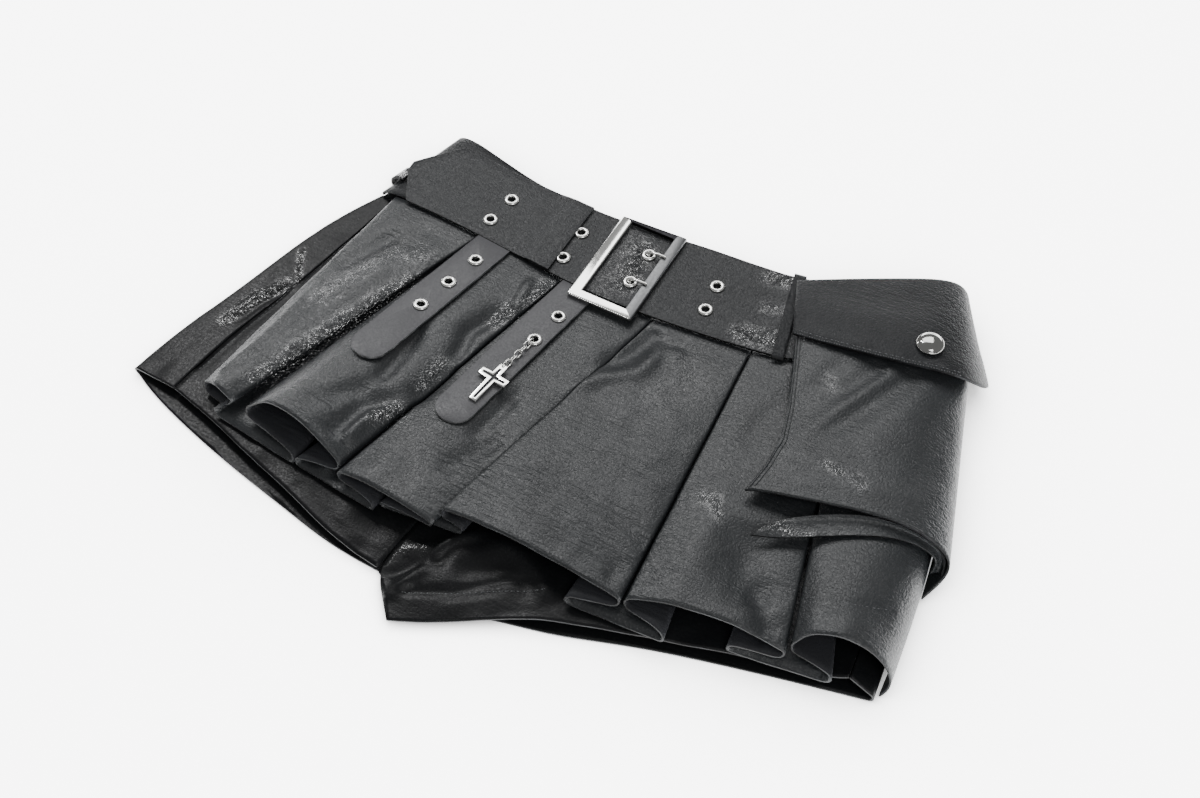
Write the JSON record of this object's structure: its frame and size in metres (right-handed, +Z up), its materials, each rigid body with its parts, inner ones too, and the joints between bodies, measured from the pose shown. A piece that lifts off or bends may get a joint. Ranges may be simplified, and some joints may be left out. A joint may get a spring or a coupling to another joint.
{
  "type": "skort",
  "caption": "Pleated skort laid flat: skirt panels over shorts, with a wide buckled eyelet belt, two hanging tabs, a bellows pocket and a chain charm.",
  "frame": {"origin": "on the surface that the garment lies on, below its middle: X is 0 at the buckle's middle and Y is 0 a little below half-way down the skirt", "axes": "+X towards the wearer's left side, +Y towards the waist, +Z up out of the garment's front"},
  "size_m": [0.5243, 0.3884, 0.0427],
  "materials": {
    "coated_leather": "polyurethane-coated faux leather, semi-gloss with a fine crinkle",
    "shorts_leather": "the same faux leather, semi-matt",
    "belt_leather": "fine-grained faux leather strap, semi-matt",
    "tab_leather": "smooth faux leather strap, matt",
    "nickelled_steel": "polished nickel plate"
  },
  "bodies": {
    "garment": {"waistband_front": "coated_leather", "waistband_back": "coated_leather", "skirt_overlay": "coated_leather", "pocket_front": "coated_leather", "pocket_gusset": "coated_leather", "pocket_flap": "coated_leather", "shorts_front_right": "shorts_leather", "shorts_front_left": "shorts_leather", "shorts_back_right": "shorts_leather", "shorts_back_left": "shorts_leather", "belt_main": "belt_leather", "belt_tail": "belt_leather", "belt_loop_left": "belt_leather", "belt_loop_right": "belt_leather", "tab_right": "tab_leather", "tab_middle": "tab_leather", "buckle_frame": "nickelled_steel", "buckle_prong_1": "nickelled_steel", "buckle_prong_2": "nickelled_steel", "snap": "nickelled_steel", "charm_jump_ring": "nickelled_steel", "eyelet_belt_1_high": "nickelled_steel", "eyelet_belt_1_low": "nickelled_steel", "eyelet_belt_2_high": "nickelled_steel", "eyelet_belt_2_low": "nickelled_steel", "eyelet_belt_3_high": "nickelled_steel", "eyelet_belt_3_low": "nickelled_steel", "eyelet_belt_4_high": "nickelled_steel", "eyelet_belt_4_low": "nickelled_steel", "eyelet_tab_right_1": "nickelled_steel", "eyelet_tab_right_2": "nickelled_steel", "eyelet_tab_right_3": "nickelled_steel", "eyelet_tab_middle_1": "nickelled_steel", "eyelet_tab_middle_2": "nickelled_steel"},
    "chain": {"charm_link_1": "nickelled_steel", "charm_link_2": "nickelled_steel", "charm_link_3": "nickelled_steel", "charm_link_4": "nickelled_steel", "charm_link_5": "nickelled_steel", "charm_cross_ring": "nickelled_steel"},
    "cross": {"charm_cross": "nickelled_steel"}
  },
  "joints": [
    {"name": "charm_lift", "type": "hinge", "parent": "garment", "child": "chain", "pos_m": [-0.02183, 0.01984, 0.02097], "axis": [-0.9917, 0.1287, 0], "range_deg": [0, 60]},
    {"name": "cross_lift", "type": "hinge", "parent": "chain", "child": "cross", "pos_m": [-0.02536, -0.0073, 0.02513], "axis": [-0.9917, 0.1287, 0], "range_deg": [0, 75]}
  ]
}
